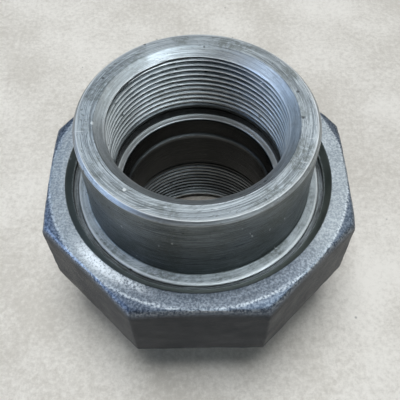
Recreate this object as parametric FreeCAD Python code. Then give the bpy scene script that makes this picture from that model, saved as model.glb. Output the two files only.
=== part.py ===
import FreeCAD, Part
import math
import os

V = FreeCAD.Vector

# Forged steel screwed pipe union, NPS 2, class 3000. Millimetres.
# +Z runs up the bore, the origin is the centre of the bottom end face.
# Three pieces: the threaded piece below, the tail piece above and the
# octagonal nut that draws the tail piece's ball nose into the cone seat.

# Overall sizes
TOTAL_LENGTH = 86.1
HUB_R = 37.6
HUB_CHAMFER = 0.7
HUB_FILLET = 0.8
OVERCUT = 1.0               # tools reach this far past the faces they cut

# NPT 2 tapped sockets, one in each end. The cut thread is parallel and has
# the taper thread's pitch and its mean depth.
NPT_PITCH = 2.2087
NPT_ROOT_R = 29.4
NPT_TURNS = 11
TAP_DRILL_R = 28.2
TAP_DRILL_DEPTH = 30.9
SINK_R = 31.4
SINK_FLARE = 1.31           # countersink radius lost per millimetre of depth
ROOT_FLAT = 0.16

# Waterways
TAIL_BORE_R = 26.0
LOWER_BORE_R = 25.5
LEDGE_BEVEL = 0.6

# Union thread, 11 threads per inch
PITCH = 25.4 / 11.0
MALE_MAJOR_R = 46.2
THREAD_DEPTH = 1.1
THREAD_CREST = 0.45
THREAD_GAP = 0.25           # radial gap at crest and root
FLANK_GAP = 0.2             # axial gap on each flank
FLANK = math.tan(math.radians(30.0))
THREAD_BEVEL = 1.3          # lead-in at both ends of the threads
MOUTH_OVERCUT = 0.15        # thread tools reach this far past the crests

# Threaded piece
COLLAR_Z = 24.0             # bottom of the threaded collar
SEAT_FACE_Z = 50.0          # top face of the threaded collar
SEAT_Z = 46.6               # inner edge of the cone seat

# Tail piece
NOSE_BALL_R = 39.2
NOSE_BALL_Z = 76.96         # centre of the ball nose
FLANGE_R = 45.0
FLANGE_CHAMFER = 0.5
FLANGE_Z = 50.4
SHOULDER_Z = 54.5           # face the nut's lip pulls on
NECK_R = 41.3
NECK_Z = 56.3
NECK_ROUND = 0.7

# Nut
ACROSS_FLATS = 102.8
SIDES = 8
CORNER_ROUND = 1.0
NUT_BOTTOM_Z = 26.3
NUT_TOP_Z = 58.7
CROWN_R = 50.6              # flat top ring ends here
CORNER_TOP_Z = 56.9         # crown bevel reaches the corners here
LIP_R = 42.9
LIP_Z = 54.6                # underside of the lip
LIP_BEVEL = 2.2
RELIEF_R = 46.7
RELIEF_Z = 51.0
FOOT_BEVEL = 1.0


def turned(outline):
    """Body of revolution about Z. Each entry is the next corner (r, z), or
    (r, z, via_r, via_z) where the edge leading to it is an arc."""
    edges = []
    for here, there in zip(outline, outline[1:] + outline[:1]):
        start = V(here[0], 0, here[1])
        end = V(there[0], 0, there[1])
        if len(there) == 4:
            edges.append(Part.Arc(start, V(there[2], 0, there[3]), end).toShape())
        else:
            edges.append(Part.LineSegment(start, end).toShape())
    return Part.Face(Part.Wire(edges)).revolve(V(0, 0, 0), V(0, 0, 1), 360)


def fillet_point(r, z, radius):
    """Middle of a quarter arc that fills an inside corner at (r, z)."""
    reach = radius * (1.0 - math.sqrt(0.5))
    return r + reach, z + reach


def cut_thread(body, pitch, bottom, turns, radius, section):
    """Cuts a right-hand helical groove out of a body, one turn at a time.
    section lists (r, z) corners relative to the helix."""
    path = Part.makeHelix(pitch, pitch, radius)
    path.translate(V(0, 0, bottom))
    corners = [V(radius + dr, 0, bottom + dz) for dr, dz in section]
    sweep = Part.BRepOffsetAPI.MakePipeShell(Part.Wire(path.Edges))
    sweep.setFrenetMode(True)
    sweep.add(Part.makePolygon(corners + corners[:1]), False, False)
    sweep.build()
    sweep.makeSolid()
    for turn in range(turns):
        cutter = sweep.shape()
        cutter.translate(V(0, 0, turn * pitch))
        body = body.cut(cutter)
    return body


def groove_section(depth, root_width, outward):
    """60 degree thread groove with its root on the helix. outward is +1 for an
    internal thread, -1 for an external one."""
    reach = depth + MOUTH_OVERCUT
    half_root = root_width / 2.0
    half_mouth = half_root + reach * FLANK
    return [
        (0.0, -half_root),
        (0.0, half_root),
        (-outward * reach, half_mouth),
        (-outward * reach, -half_mouth),
    ]


def cut_socket(body):
    """Taps a socket that opens upward at z = 0: tap drill, countersink and
    thread."""
    sink_depth = (SINK_R - TAP_DRILL_R) / SINK_FLARE
    drill = turned([
        (0.0, OVERCUT),
        (SINK_R + OVERCUT * SINK_FLARE, OVERCUT),
        (TAP_DRILL_R, -sink_depth),
        (TAP_DRILL_R, -TAP_DRILL_DEPTH),
        (0.0, -TAP_DRILL_DEPTH),
    ])
    section = groove_section(NPT_ROOT_R - TAP_DRILL_R, ROOT_FLAT, 1)
    bottom = -NPT_TURNS * NPT_PITCH
    return cut_thread(body.cut(drill), NPT_PITCH, bottom, NPT_TURNS, NPT_ROOT_R, section)


def threaded_piece():
    """Lower end: round hub, threaded collar, cone seat and tapped socket."""
    seat_rise = SEAT_FACE_Z - SEAT_Z
    fillet_r, fillet_z = fillet_point(HUB_R, -COLLAR_Z, HUB_FILLET)
    body = turned([
        (LOWER_BORE_R, 0.0),
        (HUB_R - HUB_CHAMFER, 0.0),
        (HUB_R, HUB_CHAMFER),
        (HUB_R, COLLAR_Z - HUB_FILLET),
        (HUB_R + HUB_FILLET, COLLAR_Z, fillet_r, -fillet_z),
        (MALE_MAJOR_R - THREAD_BEVEL, COLLAR_Z),
        (MALE_MAJOR_R, COLLAR_Z + THREAD_BEVEL),
        (MALE_MAJOR_R, SEAT_FACE_Z - THREAD_BEVEL),
        (MALE_MAJOR_R - THREAD_BEVEL, SEAT_FACE_Z),
        (LOWER_BORE_R + seat_rise, SEAT_FACE_Z),
        (LOWER_BORE_R, SEAT_Z),
    ])
    root = PITCH - THREAD_CREST - 2.0 * THREAD_DEPTH * FLANK
    section = groove_section(THREAD_DEPTH, root, -1)
    half_pitch_off_nut = 1.5 * PITCH
    bottom = COLLAR_Z - half_pitch_off_nut
    turns = math.ceil((SEAT_FACE_Z - bottom) / PITCH) + 1
    body = cut_thread(body, PITCH, bottom, turns, MALE_MAJOR_R - THREAD_DEPTH, section)
    body.rotate(V(0, 0, 0), V(1, 0, 0), 180)
    body = cut_socket(body)
    body.rotate(V(0, 0, 0), V(1, 0, 0), 180)
    return body


def tail_piece():
    """Upper end: round hub, neck, pulled flange, ball nose and tapped socket."""
    nose_r = math.sqrt(NOSE_BALL_R ** 2 - (NOSE_BALL_Z - FLANGE_Z) ** 2)
    nose_z = NOSE_BALL_Z - math.sqrt(NOSE_BALL_R ** 2 - TAIL_BORE_R ** 2)
    mid_r = (nose_r + TAIL_BORE_R) / 2.0
    mid_z = NOSE_BALL_Z - math.sqrt(NOSE_BALL_R ** 2 - mid_r ** 2)
    fillet_r, fillet_z = fillet_point(HUB_R, NECK_Z, HUB_FILLET)
    round_reach = NECK_ROUND * (1.0 - math.sqrt(0.5))
    body = turned([
        (TAIL_BORE_R, nose_z),
        (nose_r, FLANGE_Z, mid_r, mid_z),
        (FLANGE_R - FLANGE_CHAMFER, FLANGE_Z),
        (FLANGE_R, FLANGE_Z + FLANGE_CHAMFER),
        (FLANGE_R, SHOULDER_Z),
        (NECK_R, SHOULDER_Z),
        (NECK_R, NECK_Z - NECK_ROUND),
        (NECK_R - NECK_ROUND, NECK_Z, NECK_R - round_reach, NECK_Z - round_reach),
        (HUB_R + HUB_FILLET, NECK_Z),
        (HUB_R, NECK_Z + HUB_FILLET, fillet_r, fillet_z),
        (HUB_R, TOTAL_LENGTH - HUB_CHAMFER),
        (HUB_R - HUB_CHAMFER, TOTAL_LENGTH),
        (TAIL_BORE_R, TOTAL_LENGTH),
    ])
    body.translate(V(0, 0, -TOTAL_LENGTH))
    body = cut_socket(body)
    body.translate(V(0, 0, TOTAL_LENGTH))
    ledge_z = TOTAL_LENGTH - TAP_DRILL_DEPTH
    bevel = turned([
        (0.0, ledge_z),
        (TAIL_BORE_R + LEDGE_BEVEL, ledge_z),
        (TAIL_BORE_R, ledge_z - LEDGE_BEVEL),
        (0.0, ledge_z - LEDGE_BEVEL),
    ])
    return body.cut(bevel)


def octagon():
    """Prism of the nut's wrench flats, one flat square to the Y axis."""
    corner_r = ACROSS_FLATS / 2.0 / math.cos(math.pi / SIDES)
    corners = []
    for i in range(SIDES):
        angle = (i + 0.5) * 2.0 * math.pi / SIDES
        corners.append(V(corner_r * math.cos(angle), corner_r * math.sin(angle), NUT_BOTTOM_Z))
    face = Part.Face(Part.makePolygon(corners + corners[:1]))
    prism = face.extrude(V(0, 0, NUT_TOP_Z - NUT_BOTTOM_Z))
    upright = [edge for edge in prism.Edges if edge.BoundBox.ZLength > 1.0]
    return prism.makeFillet(CORNER_ROUND, upright)


def union_nut():
    """Octagonal nut: bevelled crown, lip over the tail's flange, thread."""
    corner_r = ACROSS_FLATS / 2.0 / math.cos(math.pi / SIDES)
    foot_r = corner_r - FOOT_BEVEL
    crown = turned([
        (0.0, NUT_BOTTOM_Z),
        (foot_r, NUT_BOTTOM_Z),
        (corner_r, NUT_BOTTOM_Z + FOOT_BEVEL),
        (corner_r, CORNER_TOP_Z),
        (CROWN_R, NUT_TOP_Z),
        (0.0, NUT_TOP_Z),
    ])
    minor_r = MALE_MAJOR_R - THREAD_DEPTH + THREAD_GAP
    root_r = MALE_MAJOR_R + THREAD_GAP
    cavity = turned([
        (0.0, NUT_BOTTOM_Z - OVERCUT),
        (minor_r + THREAD_BEVEL + OVERCUT, NUT_BOTTOM_Z - OVERCUT),
        (minor_r, NUT_BOTTOM_Z + THREAD_BEVEL),
        (minor_r, RELIEF_Z),
        (RELIEF_R, RELIEF_Z),
        (RELIEF_R, LIP_Z),
        (LIP_R, LIP_Z),
        (LIP_R, NUT_TOP_Z - LIP_BEVEL),
        (LIP_R + LIP_BEVEL + OVERCUT, NUT_TOP_Z + OVERCUT),
        (0.0, NUT_TOP_Z + OVERCUT),
    ])
    ridge_at_major = PITCH - THREAD_CREST - 2.0 * FLANK_GAP
    ridge_base = ridge_at_major + 2.0 * THREAD_GAP * FLANK
    section = groove_section(root_r - minor_r, PITCH - ridge_base, 1)
    turns = math.ceil((RELIEF_Z - COLLAR_Z) / PITCH)
    body = octagon().common(crown).cut(cavity)
    return cut_thread(body, PITCH, COLLAR_Z, turns, root_r, section)


def main():
    os.makedirs("parts", exist_ok=True)
    pieces = {
        "threaded_piece": threaded_piece(),
        "tail_piece": tail_piece(),
        "union_nut": union_nut(),
    }
    for name, shape in pieces.items():
        shape.exportStep("parts/" + name + ".step")


main()
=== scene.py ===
import math

import bmesh
import bpy
import numpy as np
from mathutils import Matrix, Vector, noise


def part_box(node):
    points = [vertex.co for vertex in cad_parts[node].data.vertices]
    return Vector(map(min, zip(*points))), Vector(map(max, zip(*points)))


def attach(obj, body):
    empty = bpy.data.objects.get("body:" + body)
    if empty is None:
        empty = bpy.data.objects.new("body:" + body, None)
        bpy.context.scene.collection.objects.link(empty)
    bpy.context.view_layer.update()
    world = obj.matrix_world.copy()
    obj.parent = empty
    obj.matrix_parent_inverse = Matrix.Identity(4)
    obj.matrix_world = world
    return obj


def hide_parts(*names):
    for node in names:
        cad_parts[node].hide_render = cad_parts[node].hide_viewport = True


# Forged steel pipe union: three pieces with cut threads, shown closed.
# Lengths are in millimetres in the profiles and become metres in ring_mesh.

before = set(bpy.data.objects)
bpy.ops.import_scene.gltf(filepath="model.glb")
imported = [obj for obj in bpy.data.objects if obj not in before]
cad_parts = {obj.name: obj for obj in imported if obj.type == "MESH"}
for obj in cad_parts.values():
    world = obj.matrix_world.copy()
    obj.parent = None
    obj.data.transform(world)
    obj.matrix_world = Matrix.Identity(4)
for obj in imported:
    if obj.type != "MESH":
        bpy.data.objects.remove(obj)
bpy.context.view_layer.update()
MM = 0.001


def node_box(name):
    """Lowest and highest corners of a CAD node, in millimetres."""
    low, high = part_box(name)
    return [c / MM for c in low], [c / MM for c in high]


TAIL_LOW, TAIL_HIGH = node_box("tail_piece")
NUT_LOW, NUT_HIGH = node_box("union_nut")
_, MALE_HIGH = node_box("threaded_piece")

TOP_Z = TAIL_HIGH[2]
NOSE_Z = TAIL_LOW[2]
FLANGE_R = TAIL_HIGH[0]
SEAT_FACE_Z = MALE_HIGH[2]
MALE_R = MALE_HIGH[0]
NUT_BOTTOM_Z = NUT_LOW[2]
NUT_TOP_Z = NUT_HIGH[2]
FLAT_R = NUT_HIGH[0]

HUB_R = 37.6
HUB_CHAMFER = 0.7
BORE_R = 26.0
LOWER_BORE_R = 25.5
SEAT_WIDTH = 3.4

# Columns of vertices round each end
TAIL_COLUMNS = 288
THREADED_COLUMNS = 240

# Pipe thread sockets
NPT_PITCH = 2.2087
NPT_ROOT_R = 30.05
NPT_TAPER = 1.0 / 32.0
TAP_R = 28.2
SOCKET_DEPTH = 30.9
SINK_R = 31.4
SINK_FLARE = 1.31
LEAD_DEPTH = 2.3
LEAD_SLOPE = 1.6
FADE_DEPTH = 27.6
FADE_SLOPE = 0.3
FADE_END = FADE_DEPTH + 0.4
NPT_FLAT = 0.08

# Union thread
PITCH = 25.4 / 11.0
THREAD_DEPTH = 1.1
THREAD_CREST = 0.45
THREAD_GAP = 0.25
FLANK_GAP = 0.2
FLANK = math.tan(math.radians(30.0))
COLLAR_Z = 24.0

# Rim, neck, flange and nose of the tail piece
RIM_CHAMFER_IN = 0.95
RIM_CHAMFER_DOWN = 1.1
NECK_Z = 56.3
NECK_R = 41.3
NECK_FALL = 0.8
NECK_HEIGHT = 1.8
SHOULDER_Z = NECK_Z - NECK_HEIGHT
NOSE_HEIGHT = 2.78
NOSE_FOOT_R = 28.83

# Nut
CORNER_ROUND = 1.3
SHOULDER_ROUND = 4.2
SHOULDER_VARIES = 0.6
CROWN_R = 50.6
CROWN_FALL = 0.358
LIP_R = 42.9
LIP_BEVEL = 2.2
LIP_DEPTH = 4.1
RELIEF_R = 46.7
RELIEF_Z = 51.0
MOUTH_R = 46.65
SLOW_DENT = 0.16
FAST_DENT = 0.1

# Bearings, in degrees from +X, of two zones of the nut's top ring: a patch with
# a painted highlight at the front left and a stretch of painted shade at the front
HIGHLIGHT_PATCH_AT = -126.0
FRONT_AT = -82.0

# Nicks and pits left by handling: bearing in degrees, millimetres from the axis
TAIL_NICKS = [(172, 37.0), (183, 31.5), (232, 33.0)]
TAIL_PITS = [(118, 36.5), (359, 30.5), (359, 32.0)]
NUT_NICKS = [(172, 44.5), (171, 44.0), (191, 50.5)]

# Camera, fitted to the photo: place in millimetres from the middle of the top
# face, angles in degrees, focal length and picture width in pixels
CAMERA_PLACE = (1.2, -117.1, 133.8)
CAMERA_PITCH = 56.864
CAMERA_YAW = -0.355
CAMERA_ROLL = -1.069
FOCAL_PX = 584.0
PICTURE_PX = 400.0
SENSOR_MM = 36.0

# Steel and floor colours
WHITE = (1.0, 1.0, 1.0, 1.0)
TURNED_DARK = (0.16, 0.178, 0.19, 1.0)
TURNED_LIGHT = (0.44, 0.475, 0.49, 1.0)
TONE_DARK = (0.26, 0.285, 0.275, 1.0)
COARSE = (0.42, 0.44, 0.44, 1.0)
OIL = (0.085, 0.092, 0.075, 1.0)
FLECK = (0.07, 0.075, 0.07, 1.0)
TAIL_WEAR_HIGHLIGHT = (0.7, 0.71, 0.7, 1.0)
TAIL_RECESS_SHADE = (0.012, 0.0125, 0.0115, 1.0)
PIT = (0.02, 0.02, 0.02, 1.0)
FLAT_DARK = (0.006, 0.009, 0.014, 1.0)
FLAT_LIGHT = (0.024, 0.03, 0.04, 1.0)
BEVEL_DARK = (0.07, 0.088, 0.118, 1.0)
BEVEL_LIGHT = (0.25, 0.28, 0.325, 1.0)
RING_DARK = (0.24, 0.265, 0.285, 1.0)
RING_LIGHT = (0.46, 0.49, 0.505, 1.0)
HIGHLIGHT_PATCH_COLOUR = (0.95, 0.97, 0.98, 1.0)
LIP_DARK = (0.26, 0.28, 0.25, 1.0)
LIP_LIGHT = (0.36, 0.38, 0.34, 1.0)
NUT_WEAR_HIGHLIGHT = (0.66, 0.69, 0.71, 1.0)
NUT_RECESS_SHADE = (0.03, 0.034, 0.03, 1.0)
FLOOR_DARK = (0.58, 0.535, 0.465, 1.0)
FLOOR_LIGHT = (0.81, 0.765, 0.69, 1.0)
FLOOR_SPECK = (0.2, 0.19, 0.17, 1.0)

# Studio surround colours
SKY_TOP = (1.3, 1.36, 1.4, 1.0)
SKY_LOW = (0.07, 0.075, 0.085, 1.0)
SKY_LEFT = (1.0, 1.45, 2.3, 1.0)
SKY_RIGHT = (0.95, 1.05, 1.1, 1.0)
SKY_PANEL = (1.6, 1.7, 1.75, 1.0)
SKY_AHEAD = (2.8, 3.2, 3.5, 1.0)
SKY_SHADE = (0.38, 0.54, 0.76, 1.0)
SKY_CORNER = (1.9, 2.0, 2.1, 1.0)


# Rings and strips -----------------------------------------------------------

def soften(corners, arc_steps=4):
    """Points of an open outline of (r, z, radius, cuts) corners: each corner is
    rounded, and each run is cut into that many parts with a loop near its ends."""
    tangents = []
    count = len(corners)
    for i, (r, z, radius, _) in enumerate(corners):
        if i in (0, count - 1) or radius <= 0.0:
            tangents.append((0.0, 0.0))
            continue
        back = math.hypot(corners[i - 1][0] - r, corners[i - 1][1] - z)
        ahead = math.hypot(corners[i + 1][0] - r, corners[i + 1][1] - z)
        tangents.append((min(radius, 0.46 * back), min(radius, 0.46 * ahead)))
    points = []
    for i, (r, z, _, cuts) in enumerate(corners):
        here = np.array([r, z])
        if max(tangents[i]) > 0.0:
            start = here + unit(np.array(corners[i - 1][:2]) - here) * tangents[i][0]
            end = here + unit(np.array(corners[i + 1][:2]) - here) * tangents[i][1]
            for step in range(arc_steps + 1):
                t = step / arc_steps
                points.append((1 - t) ** 2 * start + 2 * t * (1 - t) * here + t * t * end)
        else:
            points.append(here)
        if i + 1 < count:
            there = np.array(corners[i + 1][:2])
            run_end = there + unit(here - there) * tangents[i + 1][0]
            run_start = points[-1]
            length = float(np.hypot(*(run_end - run_start)))
            hold = min(0.22, length * 0.2)
            for step in range(cuts + 1):
                t = (hold + (length - 2 * hold) * step / cuts) / max(length, 1e-9)
                points.append(run_start + (run_end - run_start) * t)
    return np.array(points)


def unit(v):
    return v / max(float(np.hypot(*v)), 1e-12)


def plain_strip(angles, points):
    """Rows of constant radius and height."""
    turns = np.ones(len(angles))
    return np.outer(points[:, 0], turns), np.outer(points[:, 1], turns)


def thread_strip(angles, low, high, pitch, start, offsets, radius):
    """Rows that climb with a right-hand thread between two flat rims.
    radius(x, z) gives the wall, x being the height above the groove's middle."""
    climb = pitch * angles / (2.0 * math.pi)
    first = math.floor((low - start) / pitch) - 2
    last = math.ceil((high - start) / pitch) + 1
    rows = [start + n * pitch + o for n in range(first, last) for o in offsets]
    z = np.clip(np.array(rows)[:, None] + climb[None, :], low, high)
    x = np.mod(z - start - climb[None, :] + pitch / 2.0, pitch) - pitch / 2.0
    return radius(x, z), z


def ring_mesh(name, angles, strips, shape=None, paint=None):
    """Closed body from strips that follow each other round the section.
    shape moves the vertices and paint gives them named values from 0 to 1."""
    verts = []
    faces = []
    cols = len(angles)
    for r, z in strips:
        base = len(verts)
        x = r * np.cos(angles)[None, :]
        y = r * np.sin(angles)[None, :]
        verts.extend(np.stack([x, y, z], axis=-1).reshape(-1, 3).tolist())
        for i in range(r.shape[0] - 1):
            for j in range(cols - 1):
                a = base + i * cols + j
                faces.append((a, a + 1, a + cols + 1, a + cols))
    mesh = bpy.data.meshes.new(name)
    mesh.from_pydata([(vx * MM, vy * MM, vz * MM) for vx, vy, vz in verts], [], faces)
    bm = bmesh.new()
    bm.from_mesh(mesh)
    bmesh.ops.remove_doubles(bm, verts=bm.verts, dist=2e-7)
    bmesh.ops.recalc_face_normals(bm, faces=bm.faces)
    bm.to_mesh(mesh)
    bm.free()
    points = np.empty(len(mesh.vertices) * 3)
    mesh.vertices.foreach_get("co", points)
    points = points.reshape(-1, 3) / MM
    for label, values in (paint(points) if paint else {}).items():
        layer = mesh.attributes.new(label, "FLOAT", "POINT")
        layer.data.foreach_set("value", values.astype(np.float32))
    if shape:
        mesh.vertices.foreach_set("co", (shape(points) * MM).ravel())
        mesh.update()
    mesh.shade_smooth()
    mesh.set_sharp_from_angle(angle=math.radians(32.0))
    piece = bpy.data.objects.new(name, mesh)
    bpy.context.scene.collection.objects.link(piece)
    return piece


def even_angles(count):
    return np.linspace(0.0, 2.0 * math.pi, count + 1)


# Threads --------------------------------------------------------------------

def npt_offsets():
    """Row heights through one pitch of pipe thread, close at root and crest."""
    half = [NPT_FLAT, 0.36, 0.62, 0.82, 0.93, 1.01]
    return [-h for h in reversed(half)] + [0.0] + half + [NPT_PITCH / 2.0]


def npt_wall(x, depth):
    """Wall radius of a tapped socket at a depth below its face. The thread
    follows the pipe taper and fades in below the countersink and out deep down."""
    root = np.minimum(NPT_ROOT_R - depth * NPT_TAPER, TAP_R + (FADE_DEPTH - depth) * FADE_SLOPE)
    root = np.minimum(root, TAP_R + (depth - LEAD_DEPTH) * LEAD_SLOPE)
    groove = root - np.maximum(np.abs(x) - NPT_FLAT, 0.0) / FLANK
    sink = SINK_R - depth * SINK_FLARE
    return np.maximum(np.maximum(groove, sink), TAP_R)


def upper_socket(angles):
    return thread_strip(
        angles, TOP_Z - FADE_END, TOP_Z, NPT_PITCH, TOP_Z - 1.0, npt_offsets(),
        lambda x, z: npt_wall(x, TOP_Z - z),
    )


def lower_socket(angles):
    return thread_strip(
        angles, 0.0, FADE_END, NPT_PITCH, 1.0, npt_offsets(),
        lambda x, z: npt_wall(x, z),
    )


def union_offsets(half_root, half_mouth):
    """Row heights through one pitch of union thread, on its four edges."""
    rim = (half_root + half_mouth) / 2.0
    top = (half_mouth + PITCH / 2.0) / 2.0
    half = [half_root, rim, half_mouth, top]
    return [-h for h in reversed(half)] + [0.0] + half + [PITCH / 2.0]


def male_thread(angles, low, high):
    half_mouth = (PITCH - THREAD_CREST) / 2.0
    half_root = half_mouth - THREAD_DEPTH * FLANK
    root_r = MALE_R - THREAD_DEPTH
    bevel = THREAD_DEPTH + 0.2

    def wall(x, z):
        groove = root_r + np.maximum(np.abs(x) - half_root, 0.0) / FLANK
        ends = np.minimum(z - low, high - z) + MALE_R - bevel
        return np.minimum(np.minimum(groove, MALE_R), ends)

    start = COLLAR_Z - 2.5 * PITCH
    return thread_strip(angles, low, high, PITCH, start, union_offsets(half_root, half_mouth), wall)


def nut_thread(angles, low, high, rim_r):
    male_mouth = PITCH - THREAD_CREST
    minor_r = MALE_R - THREAD_DEPTH + THREAD_GAP
    root_r = MALE_R + THREAD_GAP
    ridge_base = male_mouth - 2.0 * FLANK_GAP + 2.0 * THREAD_GAP * FLANK
    half_root = (PITCH - ridge_base) / 2.0
    half_mouth = half_root + (root_r - minor_r) * FLANK

    def wall(x, z):
        groove = root_r - np.maximum(np.abs(x) - half_root, 0.0) / FLANK
        ends = rim_r - np.minimum(z - low, high - z)
        return np.maximum(np.maximum(groove, minor_r), ends)

    return thread_strip(angles, low, high, PITCH, COLLAR_Z, union_offsets(half_root, half_mouth), wall)


# Pieces ---------------------------------------------------------------------

def ramp(value, low, high):
    """0 below low, 1 above high, smooth between. low may be the higher one."""
    t = np.clip((value - low) / (high - low), 0.0, 1.0)
    return t * t * (3.0 - 2.0 * t)


def in_socket(r):
    """1 on the socket and the bore, 0 from 34 mm outwards."""
    return ramp(r, 34.0, 32.0)


def paint_tail(points):
    """tone: 1 on the top faces, countersink, chamfer and neck ring, 0.6 in the socket
    and 0.3 on the hub wall, which are given a darker colour. coarse: the rougher
    neck ring. recess_shade: painted shade in the deep bore and, less, in the gap
    inside the nut. wear_and_highlight: scuffed rims, chamfers and thread crests,
    with painted highlights on the neck rim, the chamfers, the countersink and the ledge."""
    r = np.hypot(points[:, 0], points[:, 1])
    z = points[:, 2]
    inside = in_socket(r)
    # Painted shade: the deep bore and, less, the gap inside the nut are darkened
    bore = inside * ramp(z, TOP_Z - 23.5, TOP_Z - 27.0)
    gap = ramp(r, NECK_R - 0.6, NECK_R - 0.1) * ramp(z, 54.8, 54.6)
    # Painted highlight on the ledge, which also lifts the painted shade there
    ledge = inside * ramp(np.abs(z - (TOP_Z - SOCKET_DEPTH + 0.25)), 0.6, 0.3)
    crest = inside * ramp(z, 60.0, 64.0) * ramp(r, TAP_R + 0.6, TAP_R + 0.05)
    # Painted highlight along the neck's rounded rim
    rim = ramp(np.abs(r - NECK_R + 0.3) + np.abs(z - NECK_Z + NECK_FALL), 1.1, 0.5)
    top = ramp(z, TOP_Z - 0.5, TOP_Z - 0.1)
    # The countersink cone and the hub chamfer are lightened: painted highlights
    sink = inside * ramp(z, TOP_Z - 2.9, TOP_Z - 2.4)
    cone = sink * ramp(z, TOP_Z - 0.03, TOP_Z - 0.15)
    chamfer = ramp(r, HUB_R - 1.0, HUB_R - 0.5) * ramp(z, TOP_Z - 1.5, TOP_Z - 1.15)
    neck = ramp(r, HUB_R + 0.1, HUB_R + 0.6) * ramp(z, 58.0, 57.2)
    burr = ramp(np.abs(r - HUB_R + RIM_CHAMFER_IN) + np.abs(z - TOP_Z), 0.4, 0.1)
    # The hub wall and the socket are given a darker colour than the top faces
    wall = 0.3 * ramp(r, 35.0, 37.0)
    return {
        "tone": np.maximum.reduce([top, sink, chamfer, wall, neck, 0.6 * inside]),
        "coarse": neck * ramp(r, NECK_R - 0.3, NECK_R - 0.7),
        "recess_shade": np.clip(np.maximum(bore, 0.55 * gap) - ledge, 0.0, 1.0),
        "wear_and_highlight": np.clip(ledge + crest + rim + burr + 0.4 * chamfer + 0.4 * cone, 0.0, 1.0),
    }


def paint_threaded(points):
    """tone: 0.5 all over, halfway to the darker tone. coarse: none. recess_shade: painted
    shade inside, above the foot. wear_and_highlight: seat edge and thread crests, scuffed and with
    painted highlights."""
    r = np.hypot(points[:, 0], points[:, 1])
    z = points[:, 2]
    inside = in_socket(r)
    seat = ramp(np.abs(r - LOWER_BORE_R) + np.abs(z - SEAT_FACE_Z + SEAT_WIDTH), 0.9, 0.1)
    crest = inside * ramp(z, 26.0, 22.0) * ramp(r, TAP_R + 0.6, TAP_R + 0.05)
    return {
        "tone": np.full(len(points), 0.5),
        "coarse": np.zeros(len(points)),
        # Painted shade inside the socket, lifted at the seat and crests by their painted highlights
        "recess_shade": np.clip(inside * ramp(z, 2.0, 8.0) - 0.5 * seat - 0.45 * crest, 0.0, 1.0),
        "wear_and_highlight": np.clip(0.5 * seat + 0.8 * crest, 0.0, 1.0),
    }


def tail_piece():
    angles = even_angles(TAIL_COLUMNS)
    flange_low = NOSE_Z + NOSE_HEIGHT
    ledge_z = TOP_Z - SOCKET_DEPTH
    outside = soften([
        (SINK_R, TOP_Z, 0.0, 6),
        (HUB_R - RIM_CHAMFER_IN, TOP_Z, 0.06, 2),
        (HUB_R, TOP_Z - RIM_CHAMFER_DOWN, 0.1, 12),
        (HUB_R, NECK_Z, 0.7, 4),
        (NECK_R - 0.5, NECK_Z - NECK_FALL, 0.5, 3),
        (NECK_R, NECK_Z - 1.2, 0.3, 2),
        (NECK_R, SHOULDER_Z, 0.1, 3),
        (FLANGE_R, SHOULDER_Z, 0.3, 3),
        (FLANGE_R, flange_low, 0.5, 8),
        (NOSE_FOOT_R, flange_low, 0.15, 6),
        (BORE_R, NOSE_Z, 0.12, 8),
        (BORE_R, ledge_z - 0.6, 0.1, 2),
        (BORE_R + 0.6, ledge_z, 0.08, 3),
        (TAP_R, ledge_z, 0.0, 8),
        (TAP_R, TOP_Z - FADE_END, 0.0, 1),
    ])
    strips = [plain_strip(angles, outside), upper_socket(angles)]
    return ring_mesh("tail", angles, strips, paint=paint_tail)


def threaded_piece():
    angles = even_angles(THREADED_COLUMNS)
    collar_r = MALE_R - THREAD_DEPTH - 0.2
    hub = soften([
        (SINK_R, 0.0, 0.0, 6),
        (HUB_R - HUB_CHAMFER, 0.0, 0.12, 2),
        (HUB_R, HUB_CHAMFER, 0.15, 10),
        (HUB_R, COLLAR_Z, 0.8, 4),
        (collar_r, COLLAR_Z, 0.0, 1),
    ])
    inside = soften([
        (collar_r, SEAT_FACE_Z, 0.0, 8),
        (LOWER_BORE_R + SEAT_WIDTH, SEAT_FACE_Z, 0.2, 4),
        (LOWER_BORE_R, SEAT_FACE_Z - SEAT_WIDTH, 0.12, 10),
        (LOWER_BORE_R, SOCKET_DEPTH, 0.25, 3),
        (TAP_R, SOCKET_DEPTH, 0.0, 3),
        (TAP_R, FADE_END, 0.0, 1),
    ])
    strips = [
        plain_strip(angles, hub),
        male_thread(angles, COLLAR_Z, SEAT_FACE_Z),
        plain_strip(angles, inside),
        lower_socket(angles),
    ]
    return ring_mesh("threaded_end", angles, strips, paint=paint_threaded)


def nut_angles():
    """Columns round the nut, close together at its eight corners."""
    near = [0.16, 0.32, 0.48, 0.7, 1.1, 1.7, 2.5, 3.5]
    far = list(np.linspace(4.7, 22.5, 14))
    steps = near + far
    around = [0.0]
    for corner in range(8):
        middle = 22.5 + 45.0 * corner
        around += [middle - s for s in reversed(steps[:-1])] + [middle] + [middle + s for s in steps]
    return np.radians(np.array(around))


def octagon_r(angle):
    """Distance from the axis to the rounded octagon in one direction."""
    half = math.pi / 8.0
    off = abs((angle % (2.0 * half)) - half)
    centre = (FLAT_R - CORNER_ROUND) / math.cos(half)
    inside = CORNER_ROUND ** 2 - (centre * math.sin(off)) ** 2
    if inside > 0.0:
        hit = centre * math.cos(off) + math.sqrt(inside)
        if hit * math.cos(off) - centre >= CORNER_ROUND * math.cos(half):
            return hit
    return FLAT_R / math.cos(half - off)


def nut_shoulder(side_r):
    """Height at which the crown bevel meets a side at that radius."""
    return NUT_TOP_Z - (side_r - CROWN_R) * CROWN_FALL


def degrees_from(angle, bearing):
    """How far angles in radians lie from a bearing in degrees, in degrees."""
    return np.abs((np.degrees(angle) - bearing + 180.0) % 360.0 - 180.0)


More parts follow.
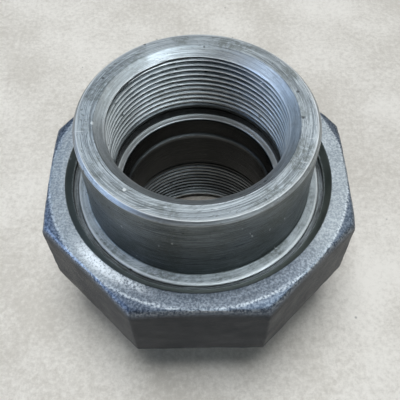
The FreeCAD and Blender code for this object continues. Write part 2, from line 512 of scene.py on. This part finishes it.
def paint_nut(points):
    """top: the top ring. crown: the ring and bevel, fading down to the flats.
    wear_and_highlight: the bevel's outer edge, scuffed and with a painted highlight.
    line: thin bright edges of the ring and lip; the lip's is a painted highlight.
    lip: the lip and its bevel. highlight_patch: a painted highlight on a patch of the
    ring. front_shade: painted shade over the sector round the front.
    recess_shade: painted shade over everything inside, below the lip's bevel."""
    r = np.hypot(points[:, 0], points[:, 1])
    z = points[:, 2]
    angle = np.arctan2(points[:, 1], points[:, 0])
    side = np.array([octagon_r(float(a)) for a in angle])
    shoulder = nut_shoulder(side)
    outside = ramp(r, 47.0, 48.0)
    below = shoulder - z
    # Scuffed bevel edge with a painted highlight
    edge = outside * ramp(np.abs(below - 0.3), 0.7, 0.1)
    circle = ramp(np.abs(r - CROWN_R), 0.6, 0.1) * ramp(z, NUT_TOP_Z - 0.7, NUT_TOP_Z - 0.4)
    # Painted highlight along the lip's edge
    lip_edge = ramp(np.abs(r - LIP_R - 0.1) + np.abs(z - NUT_TOP_Z + LIP_BEVEL), 0.8, 0.3)
    lip = ramp(r, LIP_R + LIP_BEVEL + 0.2, LIP_R + LIP_BEVEL - 0.2)
    bevel_z = NUT_TOP_Z - LIP_BEVEL
    # Painted shade over the inside of the nut, below the lip's bevel
    hidden = ramp(z, bevel_z - 0.5, bevel_z - 0.9) * ramp(r, 47.5, 47.0)
    ring = ramp(z, NUT_TOP_Z - 2.0, NUT_TOP_Z - 0.5) * ramp(r, 50.0, 46.8)
    return {
        "top": ramp(r, CROWN_R + 0.25, CROWN_R - 0.25) * ramp(below, 2.0, 0.6),
        "crown": ramp(below, 3.4, 0.2),
        "wear_and_highlight": np.clip(edge, 0.0, 1.0),
        "line": np.maximum(circle, 0.8 * lip_edge),
        "lip": lip,
        # Painted highlight patch and painted shade over the front sector of the ring
        "highlight_patch": ramp(degrees_from(angle, HIGHLIGHT_PATCH_AT), 24.0, 9.0) * ring,
        "front_shade": ramp(degrees_from(angle, FRONT_AT), 52.0, 28.0),
        "recess_shade": hidden * (1.0 - lip_edge),
    }


def forge(points):
    """Leaves the nut's outside slightly uneven, never past its own size."""
    r = np.hypot(points[:, 0], points[:, 1])
    outside = ramp(r, 46.8, 48.5)
    moved = points.copy()
    for i in np.nonzero(outside > 0.0)[0]:
        x, y, z = points[i]
        slow = noise.noise(Vector((x, y, z)) * 0.11 + Vector((7.0, 1.0, 3.0)))
        fast = noise.noise(Vector((x, y, z)) * 0.42)
        dent = outside[i] * max(0.0, SLOW_DENT * (slow + 0.5) + FAST_DENT * (fast + 0.5))
        moved[i, 0] -= x / r[i] * dent
        moved[i, 1] -= y / r[i] * dent
        moved[i, 2] -= dent * 0.6 * ramp(z, NUT_TOP_Z - 6.0, NUT_TOP_Z - 1.0)
    return moved


def nut_outside(angles):
    """Rows over the nut's outside, top, lip and relief, a column at a time."""
    rows = []
    for angle in angles:
        side_r = octagon_r(float(angle))
        shoulder = nut_shoulder(side_r)
        crown_r = min(CROWN_R, side_r - 3.0)
        shoulder_round = SHOULDER_ROUND + SHOULDER_VARIES * math.sin(5.0 * angle + 1.0)
        rows.append(soften([
            (MOUTH_R, NUT_BOTTOM_Z, 0.0, 3),
            (side_r - 0.9, NUT_BOTTOM_Z, 0.5, 1),
            (side_r, NUT_BOTTOM_Z + 0.9, 0.9, 16),
            (side_r, shoulder, shoulder_round, 6),
            (crown_r, NUT_TOP_Z, 1.3, 8),
            (LIP_R + LIP_BEVEL, NUT_TOP_Z, 0.3, 4),
            (LIP_R, NUT_TOP_Z - LIP_BEVEL, 0.4, 2),
            (LIP_R, NUT_TOP_Z - LIP_DEPTH, 0.1, 2),
            (RELIEF_R, NUT_TOP_Z - LIP_DEPTH, 0.2, 3),
            (RELIEF_R, RELIEF_Z, 0.0, 1),
        ]))
    table = np.array(rows)
    return table[:, :, 0].T, table[:, :, 1].T


def union_nut():
    angles = nut_angles()
    strips = [nut_outside(angles), nut_thread(angles, NUT_BOTTOM_Z, RELIEF_Z, MOUTH_R)]
    return ring_mesh("nut", angles, strips, shape=forge, paint=paint_nut)


# Materials ------------------------------------------------------------------

def node(tree, kind, inputs=None, **settings):
    """Adds a node. Each input is a value or the socket that feeds it."""
    made = tree.nodes.new(kind)
    for key, value in settings.items():
        setattr(made, key, value)
    for key, value in (inputs or {}).items():
        if isinstance(value, bpy.types.NodeSocket):
            tree.links.new(value, made.inputs[key])
        else:
            made.inputs[key].default_value = value
    return made


def math_node(tree, operation, a, b):
    return node(tree, "ShaderNodeMath", {0: a, 1: b}, operation=operation).outputs[0]


def plus(tree, a, b):
    return math_node(tree, "ADD", a, b)


def minus(tree, a, b):
    return math_node(tree, "SUBTRACT", a, b)


def times(tree, a, b):
    return math_node(tree, "MULTIPLY", a, b)


def larger(tree, a, b):
    return math_node(tree, "MAXIMUM", a, b)


def mixed(tree, factor, a, b, blend="MIX"):
    """Colour between a and b."""
    made = node(tree, "ShaderNodeMix", {0: factor, 6: a, 7: b}, data_type="RGBA", blend_type=blend)
    return made.outputs[2]


def spread(tree, value, low, high, to_low=0.0, to_high=1.0):
    """Maps low..high to to_low..to_high, clamped and smooth."""
    made = node(
        tree, "ShaderNodeMapRange",
        {0: value, 1: low, 2: high, 3: to_low, 4: to_high},
        interpolation_type="SMOOTHSTEP",
    )
    return made.outputs[0]


def attribute(tree, name):
    return node(tree, "ShaderNodeAttribute", attribute_name=name).outputs["Fac"]


def millimetres(tree):
    """Position on the piece, in millimetres."""
    place = node(tree, "ShaderNodeTexCoord").outputs["Object"]
    scaled = node(tree, "ShaderNodeVectorMath", {0: place, 3: 1.0 / MM}, operation="SCALE")
    return scaled.outputs[0]


def turned_position(tree, position, drag=0.03):
    """Position for tool marks: they run round the axis and drift slowly."""
    parts = node(tree, "ShaderNodeSeparateXYZ", {0: position})
    flat = node(tree, "ShaderNodeCombineXYZ", {0: parts.outputs[0], 1: parts.outputs[1]})
    radius = node(tree, "ShaderNodeVectorMath", {0: flat.outputs[0]}, operation="LENGTH").outputs[1]
    ring = node(tree, "ShaderNodeCombineXYZ", {0: radius, 2: parts.outputs[2]})
    slow = node(tree, "ShaderNodeVectorMath", {0: flat.outputs[0], 3: drag}, operation="SCALE")
    return node(tree, "ShaderNodeVectorMath", {0: ring.outputs[0], 1: slow.outputs[0]}).outputs[0]


def grain(tree, position, scale, detail=3.0, rough=0.55):
    made = node(
        tree, "ShaderNodeTexNoise",
        {"Vector": position, "Scale": scale, "Detail": detail, "Roughness": rough},
    )
    return made.outputs[0]


def pits(tree, position, scale, size):
    """1 in small scattered spots."""
    made = node(tree, "ShaderNodeTexVoronoi", {"Vector": position, "Scale": scale})
    return spread(tree, made.outputs["Distance"], size, size * 0.4)


def scratches(tree, position):
    """1 on short thin scratches in scattered places."""
    drawn = node(tree, "ShaderNodeMapping", {0: position, 2: (0.3, 0.2, 0.9), 3: (0.13, 2.4, 0.3)})
    lines = spread(tree, grain(tree, drawn.outputs[0], 1.0, 0.0), 0.74, 0.8)
    where = spread(tree, grain(tree, position, 0.12, 1.0), 0.6, 0.66)
    return times(tree, lines, where)


def marked(tree, position, places, z, size):
    """1 in a ragged spot at each (bearing, distance) at height z, 0 elsewhere."""
    jitter = node(tree, "ShaderNodeTexNoise", {"Vector": position, "Scale": 1.7, "Detail": 1.0})
    moved = node(tree, "ShaderNodeVectorMath", {0: jitter.outputs["Color"], 3: size}, operation="SCALE")
    ragged = node(tree, "ShaderNodeVectorMath", {0: position, 1: moved.outputs[0]})
    total = 0.0
    for bearing, distance in places:
        around = math.radians(bearing)
        middle = (distance * math.cos(around), distance * math.sin(around), z)
        centre = [c + size / 2.0 for c in middle]
        away = node(tree, "ShaderNodeVectorMath", {0: ragged.outputs[0], 1: centre}, operation="DISTANCE")
        total = larger(tree, spread(tree, away.outputs["Value"], size, size * 0.5), total)
    return total


def new_material(name):
    mat = bpy.data.materials.new(name)
    mat.use_nodes = True
    return mat, mat.node_tree, mat.node_tree.nodes["Principled BSDF"]


def bump(tree, height, strength, distance):
    made = node(
        tree, "ShaderNodeBump",
        {"Strength": strength, "Distance": distance * MM, "Height": height},
    )
    return made.outputs[0]


def turned_steel(name, dark, light):
    """Oily turned steel: tool marks round the axis, stains, bright scuffed edges with painted highlights,
    and painted shade in the deep recesses.
    """
    mat, tree, shader = new_material(name)
    position = millimetres(tree)
    marks_at = turned_position(tree, position)
    fine = grain(tree, marks_at, 4.0, 2.0, 0.8)
    wide = grain(tree, turned_position(tree, position, 0.012), 1.5, 3.0, 0.75)
    stain = grain(tree, position, 0.09, 4.0)
    speck = grain(tree, position, 0.9, 4.0, 0.7)
    lines = plus(tree, times(tree, fine, 1.5), times(tree, wide, 0.5))
    marks = spread(tree, lines, 0.78, 1.24)
    steel = mixed(tree, marks, dark, light)
    # Darker where tone is low: the hub wall and the socket
    shade = mixed(tree, attribute(tree, "tone"), TONE_DARK, WHITE)
    steel = mixed(tree, 1.0, steel, shade, "MULTIPLY")
    coarse = attribute(tree, "coarse")
    steel = mixed(tree, times(tree, coarse, 0.6), steel, COARSE)
    oil = times(tree, spread(tree, stain, 0.42, 0.62), spread(tree, speck, 0.35, 0.6))
    olive = mixed(tree, times(tree, oil, 0.6), steel, OIL)
    flecks = spread(tree, grain(tree, turned_position(tree, position, 0.4), 2.4, 2.0, 0.6), 0.58, 0.68)
    olive = mixed(tree, times(tree, flecks, 0.55), olive, FLECK)
    scratch = scratches(tree, position)
    nicks = marked(tree, position, TAIL_NICKS, TOP_Z, 0.7)
    bright = larger(tree, attribute(tree, "wear_and_highlight"), larger(tree, scratch, nicks))
    # Scuffs, scratches and nicks, with painted highlights on the rims, chamfers, countersink and ledge
    worn_and_lit = mixed(tree, times(tree, bright, 0.75), olive, TAIL_WEAR_HIGHLIGHT)
    # Painted shade in the deep bore and the gap inside the nut
    recess_shaded = mixed(tree, attribute(tree, "recess_shade"), worn_and_lit, TAIL_RECESS_SHADE)
    large_pits = marked(tree, position, TAIL_PITS, TOP_Z, 0.6)
    spots = larger(tree, pits(tree, position, 0.16, 0.11), large_pits)
    colour = mixed(tree, times(tree, spots, 0.7), recess_shaded, PIT)
    tree.links.new(colour, shader.inputs["Base Color"])
    shader.inputs["Metallic"].default_value = 0.88
    rough = spread(tree, plus(tree, wide, stain), 0.7, 1.3, 0.27, 0.45)
    rough = plus(tree, rough, times(tree, coarse, 0.22))
    tree.links.new(rough, shader.inputs["Roughness"])
    height = minus(tree, lines, spots)
    tree.links.new(bump(tree, height, 0.8, 0.08), shader.inputs["Normal"])
    return mat


def forged_steel():
    """Dark forged flats, a grainy bevel and a paler top ring, with painted highlights on a patch and
    along the edges, and painted shade over the ring's front and inside.
    """
    mat, tree, shader = new_material("forged_steel")
    position = millimetres(tree)
    speck = grain(tree, position, 1.3, 4.0, 0.75)
    patch = grain(tree, position, 0.12, 3.0)
    glint = spread(tree, speck, 0.38, 0.66)
    flats = mixed(tree, speck, FLAT_DARK, FLAT_LIGHT)
    bevel = mixed(tree, glint, BEVEL_DARK, BEVEL_LIGHT)
    ring = mixed(tree, glint, RING_DARK, RING_LIGHT)
    # Painted highlight on a patch of the top ring
    highlight_patch = times(tree, attribute(tree, "highlight_patch"), spread(tree, speck, 0.3, 0.56))
    ring = mixed(tree, highlight_patch, ring, HIGHLIGHT_PATCH_COLOUR)
    lip = mixed(tree, patch, LIP_DARK, LIP_LIGHT)
    body = mixed(tree, attribute(tree, "crown"), flats, bevel)
    # Painted shade: the front sector of the ring takes the darker bevel colour
    ring_share = minus(tree, 1.0, times(tree, attribute(tree, "front_shade"), 0.75))
    ring_share = larger(tree, ring_share, times(tree, highlight_patch, 0.8))
    body = mixed(tree, times(tree, attribute(tree, "top"), ring_share), body, ring)
    body = mixed(tree, attribute(tree, "lip"), body, lip)
    # Scuffed edges with painted highlights, and a painted highlight along the lip's edge
    worn_and_lit = times(tree, attribute(tree, "wear_and_highlight"), spread(tree, speck, 0.42, 0.6))
    line = times(tree, attribute(tree, "line"), spread(tree, speck, 0.4, 0.56))
    bright = larger(tree, times(tree, worn_and_lit, 0.5), times(tree, line, 0.8))
    bright = larger(tree, bright, marked(tree, position, NUT_NICKS, NUT_TOP_Z, 0.8))
    body = mixed(tree, bright, body, NUT_WEAR_HIGHLIGHT)
    # Painted shade inside the nut
    colour = mixed(tree, attribute(tree, "recess_shade"), body, NUT_RECESS_SHADE)
    tree.links.new(colour, shader.inputs["Base Color"])
    metal = spread(tree, attribute(tree, "crown"), 0.0, 0.6, 0.0, 0.95)
    tree.links.new(larger(tree, metal, attribute(tree, "lip")), shader.inputs["Metallic"])
    shader.inputs["Specular IOR Level"].default_value = 0.12
    rough = spread(tree, plus(tree, speck, patch), 0.7, 1.3, 0.34, 0.48)
    tree.links.new(rough, shader.inputs["Roughness"])
    height = times(tree, speck, spread(tree, attribute(tree, "lip"), 0.0, 1.0, 1.0, 0.1))
    tree.links.new(bump(tree, height, 0.5, 0.22), shader.inputs["Normal"])
    return mat


def floor_finish():
    """Pale worn board with faint mottling."""
    mat, tree, shader = new_material("floor")
    position = millimetres(tree)
    cloud = grain(tree, position, 0.02, 5.0, 0.6)
    speck = grain(tree, position, 0.45, 5.0, 0.8)
    tone = plus(tree, times(tree, cloud, 0.5), times(tree, speck, 0.5))
    colour = mixed(tree, spread(tree, tone, 0.38, 0.62), FLOOR_DARK, FLOOR_LIGHT)
    specks = times(tree, pits(tree, position, 0.07, 0.05), 0.6)
    colour = mixed(tree, specks, colour, FLOOR_SPECK)
    tree.links.new(colour, shader.inputs["Base Color"])
    shader.inputs["Roughness"].default_value = 0.7
    tree.links.new(bump(tree, speck, 0.3, 0.3), shader.inputs["Normal"])
    return mat


# Stage ----------------------------------------------------------------------

def floor():
    """Wide floor, just below the union's foot so that no two faces coincide."""
    mesh = bpy.data.meshes.new("floor")
    s = 9.0
    z = -0.02 * MM
    mesh.from_pydata([(-s, -s, z), (s, -s, z), (s, s, z), (-s, s, z)], [], [(0, 1, 2, 3)])
    piece = bpy.data.objects.new("floor", mesh)
    bpy.context.scene.collection.objects.link(piece)
    mesh.materials.append(floor_finish())


def sky():
    """Soft studio surround. It shows in reflections and behind the floor, but
    does not light dull surfaces. It is dim low down and bright overhead towards
    the back, with brighter patches at the back, back right and front right, a
    darker one at the back left, a cool window on the left and a pale one on the
    right."""
    world = bpy.data.worlds.new("studio")
    world.use_nodes = True
    tree = world.node_tree
    ahead = node(tree, "ShaderNodeTexCoord").outputs["Generated"]

    def patch(toward, low, high):
        aim = Vector(toward).normalized()
        dot = node(tree, "ShaderNodeVectorMath", {0: ahead, 1: aim}, operation="DOT_PRODUCT")
        return spread(tree, dot.outputs["Value"], low, high)

    height = node(tree, "ShaderNodeSeparateXYZ", {0: ahead}).outputs[2]
    above = patch((-0.1, 0.45, 0.88), 0.6, 0.84)
    lobe = times(tree, above, spread(tree, height, 0.32, 0.6))
    glow = mixed(tree, lobe, SKY_LOW, SKY_TOP)
    glow = mixed(tree, patch((-0.55, 0.6, 0.58), 0.86, 0.97), glow, SKY_SHADE)
    glow = mixed(tree, patch((0.36, 0.45, 0.82), 0.92, 0.985), glow, SKY_CORNER)
    glow = mixed(tree, patch((0.42, -0.36, 0.83), 0.89, 0.97), glow, SKY_AHEAD)
    glow = mixed(tree, patch((-0.95, -0.14, 0.28), 0.82, 0.94), glow, SKY_LEFT)
    glow = mixed(tree, patch((0.8, 0.3, 0.52), 0.87, 0.97), glow, SKY_RIGHT)
    glow = mixed(tree, patch((-0.2, 0.45, 0.87), 0.965, 0.995), glow, SKY_PANEL)
    backdrop = tree.nodes["Background"]
    tree.links.new(glow, backdrop.inputs["Color"])
    backdrop.inputs["Strength"].default_value = 1.0
    world.cycles_visibility.diffuse = False
    bpy.context.scene.world = world


def softbox(name, place, size, energy, colour):
    """Square lamp at a place in metres, turned to face the object."""
    data = bpy.data.lights.new(name, "AREA")
    data.size = size
    data.energy = energy
    data.color = colour
    lamp = bpy.data.objects.new(name, data)
    lamp.location = place
    lamp.rotation_mode = "QUATERNION"
    lamp.rotation_quaternion = Vector(place).to_track_quat("Z", "Y")
    bpy.context.scene.collection.objects.link(lamp)
    return lamp


def lights():
    sky()
    overhead = softbox("overhead", (-0.02, 0.15, 2.9), 1.5, 85.0, (0.91, 0.95, 1.0))
    overhead.visible_glossy = False
    fill = softbox("fill", (-1.2, -1.6, 1.5), 1.2, 6.0, (0.85, 0.94, 1.0))
    fill.visible_glossy = False
    softbox("glint", (-1.1, -0.15, 0.6), 0.12, 0.8, (0.8, 0.9, 1.0))


def camera():
    """Looks down into the bore from the front, with a slight roll."""
    pitch, yaw, roll = (math.radians(a) for a in (CAMERA_PITCH, CAMERA_YAW, CAMERA_ROLL))
    data = bpy.data.cameras.new("camera")
    data.sensor_width = SENSOR_MM
    data.lens = SENSOR_MM * FOCAL_PX / PICTURE_PX
    cam = bpy.data.objects.new("camera", data)
    ahead = Vector((math.sin(yaw) * math.cos(pitch), math.cos(yaw) * math.cos(pitch), -math.sin(pitch)))
    level = Vector((math.cos(yaw), -math.sin(yaw), 0.0))
    over = level.cross(ahead)
    right = level * math.cos(roll) + over * math.sin(roll)
    up = over * math.cos(roll) - level * math.sin(roll)
    turn = Matrix((right, up, -ahead)).transposed()
    eye = Vector(CAMERA_PLACE) + Vector((0.0, 0.0, TOP_Z))
    cam.matrix_world = Matrix.Translation(eye * MM) @ turn.to_4x4()
    bpy.context.scene.collection.objects.link(cam)
    bpy.context.scene.camera = cam


def place(piece, body, node, slot, material):
    piece.data.materials.append(material)
    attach(piece, body)
    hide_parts(node)


def main():
    turned = turned_steel("turned_steel", TURNED_DARK, TURNED_LIGHT)
    forged = forged_steel()
    place(tail_piece(), "tail_end", "tail_piece", "machined_steel", turned)
    place(threaded_piece(), "threaded_end", "threaded_piece", "machined_steel", turned)
    place(union_nut(), "nut", "union_nut", "forged_steel", forged)
    floor()
    lights()
    camera()
    bpy.context.scene.view_settings.view_transform = "Standard"


main()
